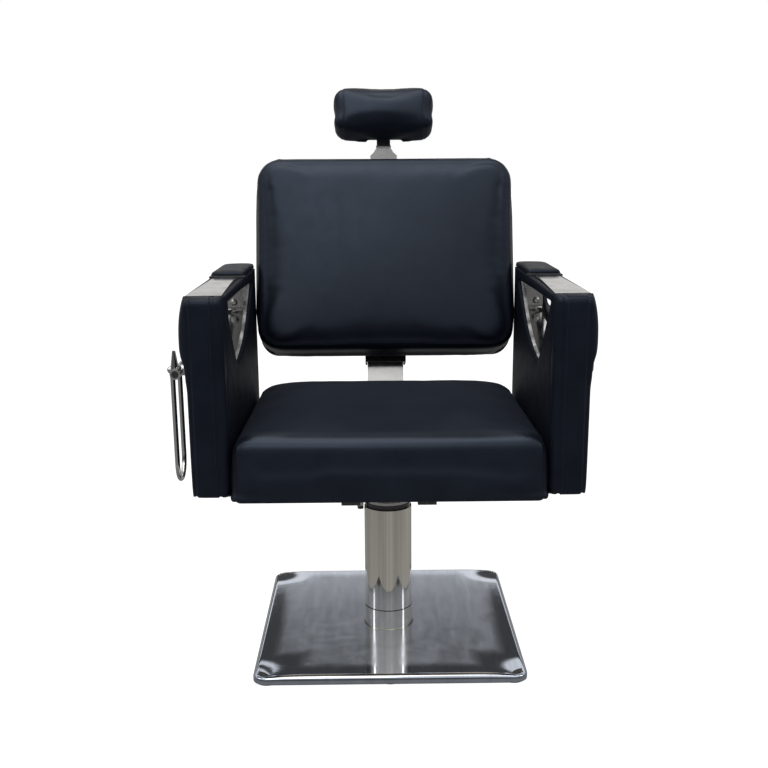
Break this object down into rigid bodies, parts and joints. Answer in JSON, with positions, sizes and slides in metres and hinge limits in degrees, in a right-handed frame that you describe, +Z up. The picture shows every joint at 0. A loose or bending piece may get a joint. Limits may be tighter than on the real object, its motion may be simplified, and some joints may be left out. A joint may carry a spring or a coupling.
{
  "type": "salon chair",
  "caption": "Salon chair for threading and beauty work, with hydraulic column on a flat steel base, box arms with leaf-shaped windows, reclining back, side lever and sliding headrest.",
  "frame": {"origin": "on the floor, at the axis of the column", "axes": "+Z up, the sitter faces -Y, +X is at the right of a viewer who faces the chair"},
  "size_m": [0.7475, 0.7206, 1.0676],
  "materials": {
    "polished_steel": "mirror polished stainless",
    "bright_steel": "fine brushed",
    "frame_paint": "satin black",
    "black_paint": "semi-gloss black",
    "black_rubber": "matte",
    "black_plastic": "satin black",
    "bush_plastic": "plain",
    "plywood": "unfinished",
    "upholstery": "soft sheen vinyl"
  },
  "bodies": {
    "base": {"base_plate": "frame_paint", "base_cover": "polished_steel", "base_feet": "black_rubber", "foot_bolts": "bright_steel", "pump_cylinder": "frame_paint", "column_collar": "polished_steel", "pedal_pin": "bright_steel"},
    "pedal": {"pump_pedal": "bright_steel", "pedal_pad": "black_rubber"},
    "lift": {"piston_rod": "bright_steel", "column_sleeve": "polished_steel", "guide_bush": "bush_plastic", "sleeve_ring": "black_plastic"},
    "seat": {"swivel_head": "bright_steel", "lug_bolt": "black_paint", "seat_rails": "frame_paint", "arm_strap_front": "frame_paint", "arm_strap_rear": "frame_paint", "seat_bolts": "bright_steel", "seat_board": "plywood", "seat_cushion": "upholstery", "hinge_pin": "bright_steel", "arm_frame_left": "plywood", "arm_frame_right": "plywood", "arm_inner_left": "upholstery", "arm_inner_right": "upholstery", "arm_outer_left": "upholstery", "arm_outer_right": "upholstery", "arm_front_pad_left": "upholstery", "arm_front_pad_right": "upholstery", "arm_rear_panels": "upholstery", "arm_rear_pads": "upholstery", "arm_top_plates": "polished_steel", "arm_rear_plates": "polished_steel", "arm_edgings": "polished_steel", "arm_stripes": "black_plastic", "arm_bolts": "bright_steel", "lever_bush": "polished_steel", "shaft_hanger": "frame_paint"},
    "lever": {"recline_lever": "polished_steel", "lever_plugs": "black_plastic", "lever_shaft": "bright_steel", "lever_nut": "bright_steel"},
    "rod": {"release_rod": "bright_steel"},
    "cross": {"cross_shaft": "bright_steel"},
    "back": {"back_spine": "polished_steel", "lock_quadrant": "bright_steel", "back_bracket": "black_paint", "spine_bolts": "bright_steel", "back_board": "plywood", "back_cushion": "upholstery", "back_shell": "black_plastic", "headrest_guide": "black_plastic"},
    "rest_slide": {"headrest_post": "bright_steel", "post_collar": "black_plastic"},
    "rest_tilt": {"tilt_bracket": "frame_paint", "headrest_board": "plywood", "headrest_pad": "upholstery"},
    "knob": {"clamp_knob": "black_plastic"}
  },
  "joints": [
    {"name": "seat_lift", "type": "slide", "parent": "base", "child": "lift", "axis": [0, 0, 1], "range_m": [0, 0.15]},
    {"name": "pedal_press", "type": "hinge", "parent": "base", "child": "pedal", "pos_m": [0, 0.062, 0.038], "axis": [-1, 0, 0], "range_deg": [0, 10], "stiffness_Nm_per_rad": 20, "springref_deg": -11.46},
    {"name": "seat_swivel", "type": "hinge", "parent": "lift", "child": "seat", "pos_m": [0, 0, 0.3], "axis": [0, 0, 1], "continuous": true},
    {"name": "back_recline", "type": "hinge", "parent": "seat", "child": "back", "pos_m": [0, 0.236, 0.34014], "axis": [-1, 0, 0], "range_deg": [0, 50]},
    {"name": "lever_pull", "type": "hinge", "parent": "seat", "child": "lever", "pos_m": [-0.33, -0.1, 0.55598], "axis": [-1, 0, 0], "range_deg": [0, 15], "stiffness_Nm_per_rad": 6, "springref_deg": -14.32},
    {"name": "rod_link", "type": "hinge", "parent": "lever", "child": "rod", "pos_m": [-0.292, -0.11874, 0.53517], "axis": [-1, 0, 0], "range_deg": [-15, 0]},
    {"name": "cross_turn", "type": "hinge", "parent": "seat", "child": "cross", "pos_m": [0, 0.19872, 0.2869], "axis": [-1, 0, 0], "range_deg": [0, 15]},
    {"name": "headrest_slide", "type": "slide", "parent": "back", "child": "rest_slide", "axis": [0, 0.309, 0.9511], "range_m": [0, 0.08]},
    {"name": "headrest_tilt", "type": "hinge", "parent": "rest_slide", "child": "rest_tilt", "pos_m": [0, 0.40483, 0.96978], "axis": [1, 0, 0], "range_deg": [-15, 30]},
    {"name": "knob_turn", "type": "hinge", "parent": "back", "child": "knob", "pos_m": [0, 0.39277, 0.90029], "axis": [0, 0.9511, -0.309], "range_deg": [0, 270]}
  ],
  "couplings": [
    {"joint": "rod_link", "follows": "lever_pull", "ratio": -1},
    {"joint": "cross_turn", "follows": "lever_pull", "ratio": 1}
  ]
}
